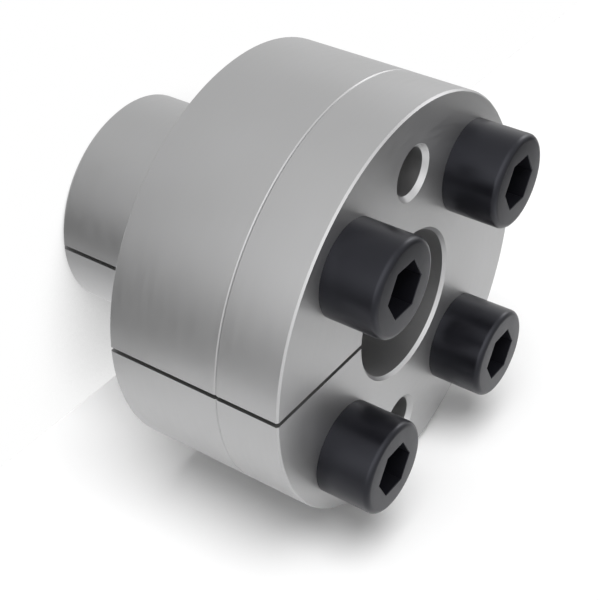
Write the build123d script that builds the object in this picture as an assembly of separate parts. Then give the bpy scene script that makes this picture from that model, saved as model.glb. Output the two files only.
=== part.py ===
from build123d import *
import math
import os

os.makedirs("parts", exist_ok=True)

# A shaft and hub locking device of two slit tapered rings, drawn together by four socket screws.
# All sizes are in millimetres. The origin is the centre of the sleeve's end face, +Z runs along
# the shaft towards the screw heads, and the slit faces -Y.

# Fits to the shaft and the hub
shaft_diameter = 16.0
seat_diameter = 24.0
seat_length = 16.0
seat_lead_chamfer = 0.5
bore_chamfer = 0.35

# Flanges, as they stand when the screws are tight
flange_diameter = 45.0
rear_flange_thickness = 12.9
flange_gap = 0.1
front_flange_thickness = 7.0
rear_flange_chamfer = 0.15
front_flange_chamfer = 0.2

# Taper on which the rings meet, with the inner ring's thin end at the sleeve's end
taper_half_angle = 3.0
taper_tip_wall = 1.3
taper_clearance = 0.02
taper_tip_recess = 0.6
taper_mouth_chamfer = 0.4

# Slit through both rings
slit_width = 0.5

# Screw and jacking holes, all on one circle
hole_circle_diameter = 31.2
screw_count = 4
first_screw_angle = 45.0
jack_hole_count = 2
jack_core_diameter = 5.0
jack_hole_chamfer = 0.5
tapped_hole_chamfer = 0.3

# Socket head cap screws
thread_diameter = 6.0
thread_clearance = 0.05
shank_clearance = 0.3
screw_length = 18.0
screw_tip_chamfer = 0.8
head_diameter = 10.0
head_height = 6.0
head_edge_radius = 0.6
head_edge_flats = 2
socket_width = 5.0
socket_depth = 3.0
socket_floor_angle = 30.0

# Heights above the sleeve's end
rear_flange_back = seat_length
rear_flange_front = rear_flange_back + rear_flange_thickness
front_flange_back = rear_flange_front + flange_gap
front_face = front_flange_back + front_flange_thickness

# Radii
shaft_radius = shaft_diameter / 2
seat_radius = seat_diameter / 2
flange_radius = flange_diameter / 2
thread_radius = thread_diameter / 2

# How far a cutter runs past the face it opens
overrun = 1.0


def taper_radius(height):
    """Radius, at a height, of the cone on which the rings meet."""
    return shaft_radius + taper_tip_wall + height * math.tan(math.radians(taper_half_angle))


def turned(points):
    """A solid turned about the shaft's axis from its half section, given as radius and height."""
    half_plane = Plane(origin=(0, 0, 0), x_dir=(0, -1, 0), z_dir=(-1, 0, 0))
    section = half_plane * make_face(Polyline(*points, close=True))
    return revolve(section, Axis.Z)


def through_hole(radius, bottom, top, mouth_chamfer=0):
    """Cutter for a round hole from bottom to top, chamfered at the mouth it was drilled from."""
    hole = Cylinder(radius, top - bottom + 2 * overrun)
    if mouth_chamfer:
        countersink = Cone(radius, radius + mouth_chamfer, mouth_chamfer)
        hole += Pos(0, 0, (top - bottom - mouth_chamfer) / 2) * countersink
    return Pos(0, 0, (bottom + top) / 2) * hole


def slit():
    """Cutter for the slit, from the axis out past the flanges on the -Y side."""
    reach = flange_radius + overrun
    length = front_face + 2 * overrun
    place = Pos(0, -reach / 2, front_face / 2)
    return place * Box(slit_width, reach, length)


def screw_places():
    """Places of the screws on their circle, a pair on each side of the slit."""
    return PolarLocations(hole_circle_diameter / 2, screw_count, first_screw_angle)


def jack_places():
    """Places of the jacking holes, each halfway between two screws."""
    return PolarLocations(hole_circle_diameter / 2, jack_hole_count)


def make_outer_ring():
    """Rear ring: the sleeve that seats in the hub, the thick tapped flange and the tapered bore."""
    mouth_radius = taper_radius(rear_flange_front)
    ring = turned(
        [
            (taper_radius(0), 0),
            (seat_radius - seat_lead_chamfer, 0),
            (seat_radius, seat_lead_chamfer),
            (seat_radius, rear_flange_back),
            (flange_radius - rear_flange_chamfer, rear_flange_back),
            (flange_radius, rear_flange_back + rear_flange_chamfer),
            (flange_radius, rear_flange_front - rear_flange_chamfer),
            (flange_radius - rear_flange_chamfer, rear_flange_front),
            (mouth_radius + taper_mouth_chamfer, rear_flange_front),
            (mouth_radius, rear_flange_front - taper_mouth_chamfer),
        ]
    )
    tapped_radius = thread_radius + thread_clearance
    tapped_hole = through_hole(tapped_radius, rear_flange_back, rear_flange_front, tapped_hole_chamfer)
    ring -= screw_places() * tapped_hole
    return ring - slit()


def make_inner_ring():
    """Front ring: the flange, the sleeve with its tapered outside, and the shaft bore."""
    tip_height = taper_tip_recess
    tip_radius = taper_radius(tip_height) - taper_clearance
    root_radius = taper_radius(front_flange_back) - taper_clearance
    ring = turned(
        [
            (shaft_radius + bore_chamfer, tip_height),
            (tip_radius, tip_height),
            (root_radius, front_flange_back),
            (flange_radius, front_flange_back),
            (flange_radius, front_face - front_flange_chamfer),
            (flange_radius - front_flange_chamfer, front_face),
            (shaft_radius + bore_chamfer, front_face),
            (shaft_radius, front_face - bore_chamfer),
            (shaft_radius, tip_height + bore_chamfer),
        ]
    )
    screw_hole = through_hole(thread_radius + shank_clearance, front_flange_back, front_face)
    jack_radius = jack_core_diameter / 2
    jack_hole = through_hole(jack_radius, front_flange_back, front_face, jack_hole_chamfer)
    ring -= screw_places() * screw_hole
    ring -= jack_places() * jack_hole
    return ring - slit()


def make_screw():
    """Socket head cap screw, its head's underside at height 0 and its shank pointing down."""
    # The head's upper edge is rounded, as a few flats between points of the arc
    arc_radius = head_diameter / 2 - head_edge_radius
    arc_height = head_height - head_edge_radius
    turns = [step * math.pi / 2 / head_edge_flats for step in range(head_edge_flats + 1)]
    rounded_edge = [
        (arc_radius + head_edge_radius * math.cos(turn), arc_height + head_edge_radius * math.sin(turn))
        for turn in turns
    ]
    screw = turned(
        [
            (0, -screw_length),
            (thread_radius - screw_tip_chamfer, -screw_length),
            (thread_radius, -screw_length + screw_tip_chamfer),
            (thread_radius, 0),
            (head_diameter / 2, 0),
            *rounded_edge,
            (0, head_height),
        ]
    )

    # The socket's corners point to and from the slit, and its floor is the cone the drill left
    hexagon = RegularPolygon(socket_width / 2, 6, major_radius=False, rotation=90)
    socket_floor = head_height - socket_depth
    socket = Pos(0, 0, socket_floor) * extrude(hexagon, socket_depth + overrun)
    floor_depth = socket_width / 2 * math.tan(math.radians(socket_floor_angle))
    drill_point = Pos(0, 0, socket_floor - floor_depth / 2) * Cone(0, socket_width / 2, floor_depth)
    return screw - socket - drill_point


# The rings
export_step(make_outer_ring(), "parts/outer_ring.step")
export_step(make_inner_ring(), "parts/inner_ring.step")

# The screws, each seated on the front face
for number, place in enumerate(screw_places(), start=1):
    seat = Pos(place.position.X, place.position.Y, front_face)
    export_step(seat * make_screw(), f"parts/clamp_screw_{number}.step")
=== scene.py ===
import math

import bmesh
import bpy
from mathutils import Matrix, Vector


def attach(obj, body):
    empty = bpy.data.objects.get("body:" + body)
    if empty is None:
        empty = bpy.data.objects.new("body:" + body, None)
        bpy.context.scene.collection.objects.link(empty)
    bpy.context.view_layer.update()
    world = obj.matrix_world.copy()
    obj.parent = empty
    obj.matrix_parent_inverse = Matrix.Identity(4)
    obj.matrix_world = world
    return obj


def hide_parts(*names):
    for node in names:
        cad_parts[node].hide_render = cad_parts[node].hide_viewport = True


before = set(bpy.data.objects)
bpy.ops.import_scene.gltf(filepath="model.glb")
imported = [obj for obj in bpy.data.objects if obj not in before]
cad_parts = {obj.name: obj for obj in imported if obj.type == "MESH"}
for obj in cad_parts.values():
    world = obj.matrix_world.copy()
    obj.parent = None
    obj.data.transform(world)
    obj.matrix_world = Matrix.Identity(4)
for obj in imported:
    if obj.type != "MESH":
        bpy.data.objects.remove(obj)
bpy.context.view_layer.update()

# Outer ring
# The sleeve that seats in the hub and the thick flange behind the seam, turned in one piece from
# carbon steel bar. It is bored to the taper, drilled and tapped for the four screws, and slit
# from end to end on one side with a saw blade.

MM = 0.001
flange_radius = 22.5 * MM
slit_width = 0.5 * MM


def linear(code):
    """An sRGB hex colour as the linear one that a shader works in."""
    shares = [int(code[at:at + 2], 16) / 255 for at in (1, 3, 5)]
    return [s / 12.92 if s <= 0.04045 else ((s + 0.055) / 1.055) ** 2.4 for s in shares] + [1.0]


def add_node(tree, kind, settings=None, links=None):
    """A node with its properties and sockets set, and its inputs linked, by name or by number."""
    node = tree.nodes.new(kind)
    for name, value in (settings or {}).items():
        if isinstance(name, str) and hasattr(node, name):
            setattr(node, name, value)
        else:
            node.inputs[name].default_value = value
    for name, source in (links or {}).items():
        tree.links.new(source, node.inputs[name])
    return node


def new_material(name):
    """An empty material, its node tree and its output node."""
    material = bpy.data.materials.new(name)
    material.use_nodes = True
    material.node_tree.nodes.clear()
    return material, material.node_tree, add_node(material.node_tree, "ShaderNodeOutputMaterial")


# Turned carbon steel, bright and dry: a satin grey that carries the tool's fine rings round the
# shaft, a little glossier or duller along each cut, and dull grey walls where the blade went.
turned_steel, tree, output = new_material("turned_steel")
coords = add_node(tree, "ShaderNodeTexCoord")
in_mm = add_node(
    tree, "ShaderNodeVectorMath", {"operation": "SCALE", "Scale": 1 / MM}, {0: coords.outputs["Object"]},
)
axes = add_node(tree, "ShaderNodeSeparateXYZ", {}, {0: in_mm.outputs[0]})
across = add_node(tree, "ShaderNodeCombineXYZ", {}, {0: axes.outputs["X"], 1: axes.outputs["Y"]})
radius = add_node(tree, "ShaderNodeVectorMath", {"operation": "LENGTH"}, {0: across.outputs[0]})
# The tool cuts a groove for each turn, so its marks follow radius on a face and height on a barrel
which_cut = add_node(
    tree, "ShaderNodeMath", {"operation": "ADD"}, {0: radius.outputs["Value"], 1: axes.outputs["Z"]},
)
# Feed marks are 0.1 mm apart; they are drawn about 0.3 mm apart, so that they show
feed_mark_gap = 0.303 * MM
feed_marks = add_node(
    tree, "ShaderNodeTexNoise",
    {"noise_dimensions": "1D", "Scale": MM / feed_mark_gap, "Detail": 3.0, "Roughness": 0.6},
    {"W": which_cut.outputs[0]},
)
# Streaks run round the shaft, this long on the flange's rim and shorter near the bore; the
# direction from the axis, not the angle, places them, so that they have no seam
streak_width = 0.4 * MM
streak_length = 3.75 * MM
outward = add_node(tree, "ShaderNodeVectorMath", {"operation": "NORMALIZE"}, {0: across.outputs[0]})
round_shaft = add_node(
    tree, "ShaderNodeVectorMath", {"operation": "SCALE", "Scale": flange_radius / streak_length},
    {0: outward.outputs[0]},
)
streak_row = add_node(
    tree, "ShaderNodeMath", {"operation": "MULTIPLY", 1: MM / streak_width}, {0: which_cut.outputs[0]},
)
row_step = add_node(tree, "ShaderNodeCombineXYZ", {}, {2: streak_row.outputs[0]})
streak_place = add_node(
    tree, "ShaderNodeVectorMath", {"operation": "ADD"}, {0: round_shaft.outputs[0], 1: row_step.outputs[0]},
)
streaks = add_node(
    tree, "ShaderNodeTexNoise", {"Scale": 1.0, "Detail": 2.0, "Roughness": 0.5},
    {"Vector": streak_place.outputs[0]},
)
# Cloudy tone, as handling and rust preventive leave it
cloud_width = 9.1 * MM
clouds = add_node(
    tree, "ShaderNodeTexNoise", {"Scale": MM / cloud_width, "Detail": 2.0}, {"Vector": in_mm.outputs[0]},
)
tone = add_node(
    tree, "ShaderNodeMix", {"data_type": "RGBA", 6: linear("#aaaaaa"), 7: linear("#afafb0")},
    {0: clouds.outputs["Fac"]},
)
# The slit's walls are the only steel within half a slit of the -Y half plane, and the margin
# takes in the walls themselves
slit_margin = 0.01 * MM
sideways = add_node(tree, "ShaderNodeMath", {"operation": "ABSOLUTE"}, {0: axes.outputs["X"]})
near_slit = add_node(
    tree, "ShaderNodeMath", {"operation": "LESS_THAN", 1: (slit_width / 2 + slit_margin) / MM},
    {0: sideways.outputs[0]},
)
front_half = add_node(tree, "ShaderNodeMath", {"operation": "LESS_THAN", 1: 0.0}, {0: axes.outputs["Y"]})
in_slit = add_node(
    tree, "ShaderNodeMath", {"operation": "MULTIPLY"}, {0: near_slit.outputs[0], 1: front_half.outputs[0]},
)
sawn_tone = add_node(
    tree, "ShaderNodeMix", {"data_type": "RGBA", 7: linear("#868686")},
    {0: in_slit.outputs[0], 6: tone.outputs[2]},
)
dullness = add_node(
    tree, "ShaderNodeMapRange", {"From Min": 0.25, "From Max": 0.75, "To Min": 0.38, "To Max": 0.42},
    {"Value": streaks.outputs["Fac"]},
)
sawn_dullness = add_node(
    tree, "ShaderNodeMix", {"data_type": "FLOAT", 3: 0.55}, {0: in_slit.outputs[0], 2: dullness.outputs[0]},
)
marks = add_node(
    tree, "ShaderNodeMath", {"operation": "ADD"}, {0: feed_marks.outputs["Fac"], 1: streaks.outputs["Fac"]},
)
groove_depth = 0.01 * MM
grooves = add_node(
    tree, "ShaderNodeBump", {"Strength": 0.12, "Distance": groove_depth}, {"Height": marks.outputs[0]},
)
steel = add_node(
    tree, "ShaderNodeBsdfPrincipled", {"Metallic": 1.0},
    {
        "Base Color": sawn_tone.outputs[2], "Roughness": sawn_dullness.outputs[0],
        "Normal": grooves.outputs[0],
    },
)
tree.links.new(steel.outputs[0], output.inputs["Surface"])

outer_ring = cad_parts["outer_ring"]
outer_ring.material_slots[0].material = turned_steel

# Tapped threads
# The first turns of each M6 thread in the outer ring, cut by a tap from the ring's own steel. They
# show at the flange's back, in front of the screw's point, which hides the rest of the thread.

screw_circle = 15.6 * MM
screw_angles = [45, 135, 225, 315]
thread_pitch = 1.0 * MM
# Just inside the flange's back, and as far up as it can be seen
thread_start = 16.1 * MM
thread_turns = 1.8
# Radius and width of the ridge where it stands on the hole's wall, and at its crest
wall_radius, wall_width = 3.05 * MM, 0.86 * thread_pitch
crest_radius, crest_width = 2.46 * MM, 0.25 * thread_pitch
# The part of a turn in which the ridge grows from the wall at either end
run_out = 0.25
steps_a_turn = 48
# Corners nearer than this are one corner
corner_reach = 0.0005 * MM


def smooth_mesh(name, mesh_parts, sharp_over=30):
    """A mesh object from a bmesh, shaded smooth but where it turns by more than some degrees."""
    bmesh.ops.recalc_face_normals(mesh_parts, faces=mesh_parts.faces)
    data = bpy.data.meshes.new(name)
    mesh_parts.to_mesh(data)
    mesh_parts.free()
    data.shade_smooth()
    data.set_sharp_from_angle(angle=math.radians(sharp_over))
    piece = bpy.data.objects.new(name, data)
    bpy.context.scene.collection.objects.link(piece)
    return piece


def merge_corners(mesh_parts):
    """Join the corners that meet, and take out the faces that this leaves without any width."""
    bmesh.ops.remove_doubles(mesh_parts, verts=mesh_parts.verts, dist=corner_reach)
    bmesh.ops.dissolve_degenerate(mesh_parts, edges=mesh_parts.edges, dist=corner_reach)


def tapped_thread(name):
    """The ridge of a tapped thread: a trapezium swept up a helix, run out at both ends."""
    ridge = bmesh.new()
    count = round(steps_a_turn * thread_turns)
    rows = []
    for at in range(count + 1):
        turns = at / steps_a_turn
        turns_left = (count - at) / steps_a_turn
        height = thread_start + thread_pitch * turns
        ease = min(1.0, turns / run_out, turns_left / run_out)
        crest = wall_radius + (crest_radius - wall_radius) * ease
        width = wall_width + (crest_width - wall_width) * ease
        outline = [
            (wall_radius, -wall_width / 2), (crest, -width / 2),
            (crest, width / 2), (wall_radius, wall_width / 2),
        ]
        turned = 2 * math.pi * turns
        row = []
        for r, z in outline:
            level = max(height + z, thread_start)
            row.append(ridge.verts.new((r * math.cos(turned), r * math.sin(turned), level)))
        rows.append(row)
    corners = len(outline)
    for low, high in zip(rows, rows[1:]):
        for a in range(corners):
            b = (a + 1) % corners
            ridge.faces.new((low[a], low[b], high[b], high[a]))
    merge_corners(ridge)
    return smooth_mesh(name, ridge, sharp_over=25)


for number, angle in enumerate(screw_angles, start=1):
    thread = tapped_thread(f"tapped_thread_{number}")
    bearing = math.radians(angle)
    thread.location = (screw_circle * math.cos(bearing), screw_circle * math.sin(bearing), 0)
    thread.data.materials.append(turned_steel)
    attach(thread, "outer_ring")

# Inner ring
# The front flange and the thin sleeve with the tapered outside, turned from the same steel and
# slit in line with the outer ring. Its bore grips the shaft, and its two plain-looking holes are
# tapped, so that screws moved there push the rings apart.

inner_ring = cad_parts["inner_ring"]
inner_ring.material_slots[0].material = turned_steel

# Clamp screws
# Four M6 x 18 socket head cap screws, cold forged from alloy steel, thread rolled, hardened and
# blackened. Their heads bear on the front flange and their threads pull the outer ring to it.

front_face = 36.0 * MM
head_radius = 5.0 * MM
head_height = 6.0 * MM
head_edge_radius = 0.6 * MM
socket_half_width = 2.5 * MM
socket_depth = 3.0 * MM
socket_edge = 0.06 * MM
drill_point = socket_half_width * math.tan(math.radians(30))
head_sides = 96
head_edge_steps = 8
shank_length = 18.0 * MM
tip_chamfer = 0.8 * MM
thread_radius = 3.0 * MM
root_radius = 2.39 * MM
plain_neck = 1.5 * MM


def cap_head(screw):
    """The screw's head, from the outside of its foot: its rounded edge, then the hexagon socket."""
    turns = [2 * math.pi * at / head_sides for at in range(head_sides)]
    flat_angle = math.radians(60)
    hexagon = []
    for turn in turns:
        # A corner of the socket points to +Y, so a flat's middle faces +X
        off_flat = (turn + flat_angle / 2) % flat_angle - flat_angle / 2
        hexagon.append(socket_half_width / math.cos(off_flat))
    arc = [math.pi / 2 * step / head_edge_steps for step in range(head_edge_steps + 1)]
    low_edge = head_height - head_edge_radius
    side_edge = head_radius - head_edge_radius
    turned_rings = [(head_radius, 0)]
    turned_rings += [
        (side_edge + head_edge_radius * math.cos(a), low_edge + head_edge_radius * math.sin(a)) for a in arc
    ]
    socket_floor = head_height - socket_depth
    socket_rings = [(socket_edge, head_height), (0, head_height - socket_edge), (0, socket_floor)]
    outlines = [([r] * head_sides, z) for r, z in turned_rings]
    outlines += [([h + wider for h in hexagon], z) for wider, z in socket_rings]
    outlines.append(([socket_half_width] * head_sides, socket_floor))
    rows = []
    for radii, height in outlines:
        row = [screw.verts.new((r * math.cos(t), r * math.sin(t), height)) for r, t in zip(radii, turns)]
        rows.append(row)
    for low, high in zip(rows, rows[1:]):
        for a in range(head_sides):
            b = (a + 1) % head_sides
            screw.faces.new((low[a], low[b], high[b], high[a]))
    point = screw.verts.new((0, 0, socket_floor - drill_point))
    for a in range(head_sides):
        screw.faces.new((rows[-1][a], rows[-1][(a + 1) % head_sides], point))


def threaded_shank(screw):
    """The rolled thread, on a grid that climbs one pitch a turn, with its chamfered point."""
    # Crest and root edges, as shares of the pitch, and the radius at each
    profile = [
        (-1 / 16, thread_radius), (1 / 16, thread_radius), (3 / 8, root_radius), (5 / 8, root_radius),
    ]
    corners = len(profile)
    # The grid has a turn to spare at each end, which is pressed flat there and merges away
    turns = round(shank_length / thread_pitch) + 2
    rows = []
    for j in range(corners * turns):
        share, level = profile[j % corners]
        row = []
        for at in range(steps_a_turn):
            height = -shank_length + thread_pitch * (j // corners - 1 + share + at / steps_a_turn)
            height = min(max(height, -shank_length), 0.0)
            radius_here = thread_radius if height > -plain_neck else level
            radius_here = min(radius_here, thread_radius - tip_chamfer + height + shank_length)
            turned = 2 * math.pi * at / steps_a_turn
            place = (radius_here * math.cos(turned), radius_here * math.sin(turned), height)
            row.append(screw.verts.new(place))
        rows.append(row)
    for j in range(corners * (turns - 1)):
        for at in range(steps_a_turn):
            # After a whole turn the next column is the first one, a pitch further up
            over, up = (at + 1, 0) if at + 1 < steps_a_turn else (0, corners)
            if j + 1 + up < len(rows):
                screw.faces.new((rows[j][at], rows[j + up][over], rows[j + 1 + up][over], rows[j + 1][at]))


def clamp_screw(name):
    """One screw, with the underside of its head at height 0."""
    screw = bmesh.new()
    threaded_shank(screw)
    cap_head(screw)
    merge_corners(screw)
    tip = [e for e in screw.edges if e.is_boundary and e.verts[0].co.z < -shank_length / 2]
    bmesh.ops.holes_fill(screw, edges=tip)
    # The flat underside of the head, between the shank and the head's outside
    bmesh.ops.bridge_loops(screw, edges=[e for e in screw.edges if e.is_boundary])
    return smooth_mesh(name, screw)


# Blackened alloy steel: black oxide grown on the metal and oiled, so nearly black, faintly blue,
# with a soft sheen, and slightly mottled where the forging scale lay.
black_steel, tree, output = new_material("blackened_steel")
coords = add_node(tree, "ShaderNodeTexCoord")
in_mm = add_node(
    tree, "ShaderNodeVectorMath", {"operation": "SCALE", "Scale": 1 / MM}, {0: coords.outputs["Object"]},
)
# Grain of the oxide is a few hundredths of a millimetre; it is drawn at 0.15 mm, so that it shows
grain_width = 0.154 * MM
grain = add_node(
    tree, "ShaderNodeTexNoise", {"Scale": MM / grain_width, "Detail": 2.0}, {"Vector": in_mm.outputs[0]},
)
mottle_width = 1.67 * MM
mottle = add_node(
    tree, "ShaderNodeTexNoise", {"Scale": MM / mottle_width, "Detail": 3.0}, {"Vector": in_mm.outputs[0]},
)
oxide = add_node(
    tree, "ShaderNodeMix", {"data_type": "RGBA", 6: linear("#0d0d10"), 7: linear("#121216")},
    {0: mottle.outputs["Fac"]},
)
oil_film = add_node(
    tree, "ShaderNodeMapRange", {"From Min": 0.3, "From Max": 0.7, "To Min": 0.28, "To Max": 0.35},
    {"Value": mottle.outputs["Fac"]},
)
pore_depth = 0.01 * MM
pores = add_node(
    tree, "ShaderNodeBump", {"Strength": 0.1, "Distance": pore_depth}, {"Height": grain.outputs["Fac"]},
)
oxide_skin = add_node(
    tree, "ShaderNodeBsdfPrincipled", {"IOR": 1.36, "Specular Tint": (0.86, 0.88, 1.0, 1.0)},
    {"Base Color": oxide.outputs[2], "Roughness": oil_film.outputs[0], "Normal": pores.outputs[0]},
)
tree.links.new(oxide_skin.outputs[0], output.inputs["Surface"])

for number, angle in enumerate(screw_angles, start=1):
    screw = clamp_screw(f"cap_screw_{number}")
    bearing = math.radians(angle)
    screw.location = (screw_circle * math.cos(bearing), screw_circle * math.sin(bearing), front_face)
    screw.data.materials.append(black_steel)
    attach(screw, f"clamp_screw_{number}")
    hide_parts(f"clamp_screw_{number}")

# Floor and backdrop
# A sheet of white paper under the sleeve's end, and a board of white card beside the flange, on
# the side that is down in the photograph, where it carries most of the shadow. Both show from
# their white side only, so that the part can be looked at from behind them too.

stage_gap = 0.02 * MM
floor_level = -stage_gap
floor_reach = 900 * MM
board_face = flange_radius + stage_gap
board_near, board_far = -70 * MM, 150 * MM
board_top = 66 * MM


def white_sheet(name, corners, material):
    """A flat sheet that the camera and mirrored rays see, and that no other light meets."""
    data = bpy.data.meshes.new(name)
    data.from_pydata(corners, [], [range(len(corners))])
    data.materials.append(material)
    sheet = bpy.data.objects.new(name, data)
    sheet.visible_diffuse = sheet.visible_transmission = sheet.visible_shadow = False
    bpy.context.scene.collection.objects.link(sheet)
    return sheet


def show_white_side(tree, white, output):
    """Finish a sheet's material, so that it is clear from behind."""
    side = add_node(tree, "ShaderNodeNewGeometry")
    clear = add_node(tree, "ShaderNodeBsdfTransparent")
    one_sided = add_node(
        tree, "ShaderNodeMixShader", {},
        {0: side.outputs["Backfacing"], 1: white.outputs[0], 2: clear.outputs[0]},
    )
    tree.links.new(one_sided.outputs[0], output.inputs["Surface"])


# Bright seamless paper, drawn as a glowing sheet with a painted shadow: plain white, but darker
# where the part hides the open directions above it and towards -X, the side the camera shows at
# the top, so that it shows a soft grey painted shadow.
painted_light_side = Vector((-1.8, -0.58, 1.0)).normalized()
# How far the part's painted shadow reaches, the share of the open directions from which on the
# paper is plain white, and how fast the painted shadow darkens below that share
shade_reach = 200 * MM
white_from = 0.7
shade_contrast = 1.8
floor_paper, tree, output = new_material("white_paper_with_painted_shadow")
towards_painted_light = add_node(tree, "ShaderNodeCombineXYZ", dict(enumerate(painted_light_side)))
open_sky = add_node(
    tree, "ShaderNodeAmbientOcclusion", {"samples": 24, "Distance": shade_reach},
    {"Normal": towards_painted_light.outputs[0]},
)
# Painted shadow: the paper's glow is turned down where the part hides those open directions
painted_shadow_level = add_node(
    tree, "ShaderNodeMath",
    {"operation": "MULTIPLY_ADD", "use_clamp": True, 1: shade_contrast, 2: 1 - shade_contrast * white_from},
    {0: open_sky.outputs["AO"]},
)
paper = add_node(
    tree, "ShaderNodeEmission", {"Color": linear("#ffffff")}, {"Strength": painted_shadow_level.outputs[0]},
)
show_white_side(tree, paper, output)
around = ((-1, -1), (1, -1), (1, 1), (-1, 1))
floor_corners = [(x * floor_reach, y * floor_reach, floor_level) for x, y in around]
floor = white_sheet("floor", floor_corners, floor_paper)
# The underside of the flange mirrors the tent, not the paper
floor.visible_glossy = False

# Matt white card, which the soft lamp lights up to white round the part's shadow.
board_card, tree, output = new_material("matt_white_card")
card = add_node(tree, "ShaderNodeBsdfDiffuse", {"Color": linear("#f3f3f3")})
show_white_side(tree, card, output)
white_sheet(
    "backdrop",
    [
        (board_face, board_near, floor_level), (board_face, board_near, board_top),
        (board_face, board_far, board_top), (board_face, board_far, floor_level),
    ],
    board_card,
)

# Light
# A wide soft lamp on the side that is up in the photograph lights the dull surfaces and throws the
# shadow on the board. The steel and the black oxide mirror a white tent, in which two grey panels
# leave their darker bands and five bright ones their sheen.

towards_lamp = Vector((-0.95, -0.23, 0.22))
lamp_data = bpy.data.lights.new("soft_box", "SUN")
lamp_data.energy = 2.68
lamp_data.angle = math.radians(42)
lamp = bpy.data.objects.new("soft_box", lamp_data)
lamp.rotation_mode = "QUATERNION"
lamp.rotation_quaternion = towards_lamp.to_track_quat("Z", "Y")
lamp.visible_glossy = False
bpy.context.scene.collection.objects.link(lamp)

# How bright the tent is for mirrored rays between its panels, for dull surfaces, and for the camera
tent_level = 0.85
dull_level = 0.37
camera_level = 1.0
# Each panel: the direction of its middle, how tight it is, and how much light it adds or takes
panels = [
    # Grey, low on the slit's side: the darker band along the barrels
    ((-0.15, -0.70, -0.70), 4.7, -1.4),
    # Grey, behind the board: the darker front face
    ((0.50, 0.82, 0.26), 5.9, -1.4),
    # Bright, beside the camera: the heads' sides and the chamfers
    ((-0.76, -0.45, 0.47), 4.6, 2.2),
    # Bright, at the back: the tops of the barrels
    ((-0.25, 0.96, 0.08), 9.0, 0.9),
    # Small and bright, beside it: the glint on the heads' rounded edges
    ((-0.44, 0.88, 0.18), 45.0, 4.5),
    # Bright, on the slit's side: the rims of the flanges
    ((-0.36, -0.93, -0.04), 9.0, 2.2),
    # Bright, above the board: the lower part of the front face
    ((0.95, 0.00, 0.30), 6.4, 2.2),
]

world = bpy.data.worlds.new("white_tent")
bpy.context.scene.world = world
world.use_nodes = True
tree = world.node_tree
tree.nodes.clear()
place = add_node(tree, "ShaderNodeTexCoord")
aim = add_node(tree, "ShaderNodeVectorMath", {"operation": "NORMALIZE"}, {0: place.outputs["Generated"]})
plain = add_node(tree, "ShaderNodeValue")
plain.outputs[0].default_value = tent_level
tent_light = plain.outputs[0]
for middle, tightness, gain in panels:
    towards = Vector(middle).normalized()
    near = add_node(
        tree, "ShaderNodeVectorMath", {"operation": "DOT_PRODUCT", 1: towards}, {0: aim.outputs[0]},
    )
    fall = add_node(
        tree, "ShaderNodeMath", {"operation": "MULTIPLY_ADD", 1: tightness, 2: -tightness},
        {0: near.outputs["Value"]},
    )
    spread = add_node(tree, "ShaderNodeMath", {"operation": "EXPONENT"}, {0: fall.outputs[0]})
    hung = add_node(
        tree, "ShaderNodeMath", {"operation": "MULTIPLY_ADD", 1: gain},
        {0: spread.outputs[0], 2: tent_light},
    )
    tent_light = hung.outputs[0]
# In its middle a grey panel would take more light than the tent has, and black is the least
held = add_node(tree, "ShaderNodeMath", {"operation": "MAXIMUM", 1: 0.0}, {0: tent_light})
rays = add_node(tree, "ShaderNodeLightPath")
for_dull = add_node(
    tree, "ShaderNodeMix", {"data_type": "FLOAT", 3: dull_level},
    {0: rays.outputs["Is Diffuse Ray"], 2: held.outputs[0]},
)
for_camera = add_node(
    tree, "ShaderNodeMix", {"data_type": "FLOAT", 3: camera_level},
    {0: rays.outputs["Is Camera Ray"], 2: for_dull.outputs[0]},
)
tent = add_node(
    tree, "ShaderNodeBackground", {"Color": linear("#ffffff")}, {"Strength": for_camera.outputs[0]},
)
add_node(tree, "ShaderNodeOutputWorld", {}, {"Surface": tent.outputs[0]})

# Camera
# It looks down at the screw heads, rolled so that -X is up, as the photograph shows the part
# lying on its flange.

camera_data = bpy.data.cameras.new("camera")
camera_data.sensor_width = 36.0
camera_data.lens = 83.57
camera = bpy.data.objects.new("camera", camera_data)
camera_place = Vector((-85.053, -99.387, 91.277)) * MM
to_right = Vector((-0.00162, 0.56734, 0.82348))
to_top = Vector((-0.80143, 0.49177, -0.34039))
aimed = Matrix((to_right, to_top, to_right.cross(to_top))).transposed()
camera.matrix_world = Matrix.Translation(camera_place) @ aimed.to_4x4()
bpy.context.scene.collection.objects.link(camera)
bpy.context.scene.camera = camera
bpy.context.scene.view_settings.view_transform = "Standard"
